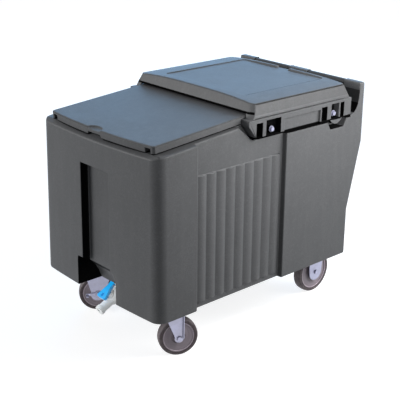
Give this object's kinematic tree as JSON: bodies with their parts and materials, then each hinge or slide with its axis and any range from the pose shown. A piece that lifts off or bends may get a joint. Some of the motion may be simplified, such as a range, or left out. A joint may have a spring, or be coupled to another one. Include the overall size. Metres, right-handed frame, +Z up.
{
  "type": "mobile ice bin",
  "caption": "Insulated ice bin on wheels with a sliding front lid, bolted rear hood, push handle, drain faucet, and swivel and rigid casters.",
  "frame": {"origin": "on the floor, under the middle of the bin's bounding box", "axes": "+X to the push handle, +Z up, the drain faucet at -X, Y across the bin"},
  "size_m": [0.92, 0.586, 0.782],
  "materials": {
    "tub_plastic": "fine moulded grain, satin",
    "foam": "rigid foam",
    "shelf_plastic": "moulded, matte",
    "faucet_plastic": "smooth white",
    "lever_plastic": "smooth blue",
    "seal_rubber": "matte",
    "tread_rubber": "soft sheen",
    "wheel_plastic": "moulded, matte",
    "zinc_steel": "bright zinc plate",
    "insert_brass": "knurled"
  },
  "bodies": {
    "tub": {"bin_body": "tub_plastic", "foam_core": "foam", "fill_plug": "tub_plastic", "handle_bar": "tub_plastic", "rear_hood": "tub_plastic", "hood_bolt_front_left": "zinc_steel", "hood_bolt_front_right": "zinc_steel", "hood_bolt_rear_left": "zinc_steel", "hood_bolt_rear_right": "zinc_steel", "hood_washer_front_left": "zinc_steel", "hood_washer_front_right": "zinc_steel", "hood_washer_rear_left": "zinc_steel", "hood_washer_rear_right": "zinc_steel", "hood_insert_front_left": "insert_brass", "hood_insert_front_right": "insert_brass", "hood_insert_rear_left": "insert_brass", "hood_insert_rear_right": "insert_brass", "faucet_gasket": "seal_rubber", "faucet_body": "faucet_plastic", "faucet_bonnet": "faucet_plastic", "faucet_lever_pin": "zinc_steel", "faucet_inner_washer": "seal_rubber", "faucet_locknut": "faucet_plastic", "front_left_plate": "zinc_steel", "front_left_ball_race": "zinc_steel", "front_left_kingpin": "zinc_steel", "front_right_plate": "zinc_steel", "front_right_ball_race": "zinc_steel", "front_right_kingpin": "zinc_steel", "rear_left_fork": "zinc_steel", "rear_left_hub_sleeve": "zinc_steel", "rear_left_axle_bolt": "zinc_steel", "rear_left_axle_nut": "zinc_steel", "rear_right_fork": "zinc_steel", "rear_right_hub_sleeve": "zinc_steel", "rear_right_axle_bolt": "zinc_steel", "rear_right_axle_nut": "zinc_steel"},
    "lid": {"front_lid": "tub_plastic"},
    "shelf": {"drain_shelf": "shelf_plastic"},
    "lever": {"faucet_lever": "lever_plastic"},
    "plunger": {"faucet_plunger": "faucet_plastic"},
    "front_left_swivel": {"front_left_fork": "zinc_steel", "front_left_hub_sleeve": "zinc_steel", "front_left_axle_bolt": "zinc_steel", "front_left_axle_nut": "zinc_steel"},
    "front_right_swivel": {"front_right_fork": "zinc_steel", "front_right_hub_sleeve": "zinc_steel", "front_right_axle_bolt": "zinc_steel", "front_right_axle_nut": "zinc_steel"},
    "brake": {"front_right_brake_lever": "zinc_steel"},
    "front_left_wheel": {"front_left_tyre": "tread_rubber", "front_left_wheel_core": "wheel_plastic"},
    "front_right_wheel": {"front_right_tyre": "tread_rubber", "front_right_wheel_core": "wheel_plastic"},
    "rear_left_wheel": {"rear_left_tyre": "tread_rubber", "rear_left_wheel_core": "wheel_plastic"},
    "rear_right_wheel": {"rear_right_tyre": "tread_rubber", "rear_right_wheel_core": "wheel_plastic"}
  },
  "joints": [
    {"name": "lid_slide", "type": "slide", "parent": "tub", "child": "lid", "axis": [0.9966, 0, 0.0819], "range_m": [0, 0.3]},
    {"name": "shelf_lift", "type": "slide", "parent": "tub", "child": "shelf", "axis": [0, 0, 1], "range_m": [0, 0.06]},
    {"name": "faucet_lever_hinge", "type": "hinge", "parent": "tub", "child": "lever", "pos_m": [-0.39985, 0, 0.18051], "axis": [0, 1, 0], "range_deg": [0, 25]},
    {"name": "faucet_plunger_slide", "type": "slide", "parent": "tub", "child": "plunger", "axis": [-0.4226, 0, 0.9063], "range_m": [0, 0.0077]},
    {"name": "front_left_swivel_turn", "type": "hinge", "parent": "tub", "child": "front_left_swivel", "pos_m": [-0.347, -0.208, 0.145], "axis": [0, 0, 1], "continuous": true},
    {"name": "front_left_wheel_spin", "type": "hinge", "parent": "front_left_swivel", "child": "front_left_wheel", "pos_m": [-0.31554, -0.22334, 0.0635], "axis": [0.4384, 0.8988, 0], "continuous": true},
    {"name": "front_right_swivel_turn", "type": "hinge", "parent": "tub", "child": "front_right_swivel", "pos_m": [-0.347, 0.208, 0.145], "axis": [0, 0, 1], "continuous": true},
    {"name": "front_right_wheel_spin", "type": "hinge", "parent": "front_right_swivel", "child": "front_right_wheel", "pos_m": [-0.31732, 0.18945, 0.0635], "axis": [0.5299, 0.848, 0], "continuous": true},
    {"name": "brake_lever_hinge", "type": "hinge", "parent": "front_right_swivel", "child": "brake", "pos_m": [-0.31732, 0.18945, 0.0635], "axis": [0.5299, 0.848, 0], "range_deg": [0, 15]},
    {"name": "rear_left_wheel_spin", "type": "hinge", "parent": "tub", "child": "rear_left_wheel", "pos_m": [0.352, -0.186, 0.0762], "axis": [0, 1, 0], "continuous": true},
    {"name": "rear_right_wheel_spin", "type": "hinge", "parent": "tub", "child": "rear_right_wheel", "pos_m": [0.352, 0.186, 0.0762], "axis": [0, 1, 0], "continuous": true}
  ],
  "couplings": [
    {"joint": "faucet_plunger_slide", "follows": "faucet_lever_hinge", "m_per_rad": 0.0175}
  ]
}
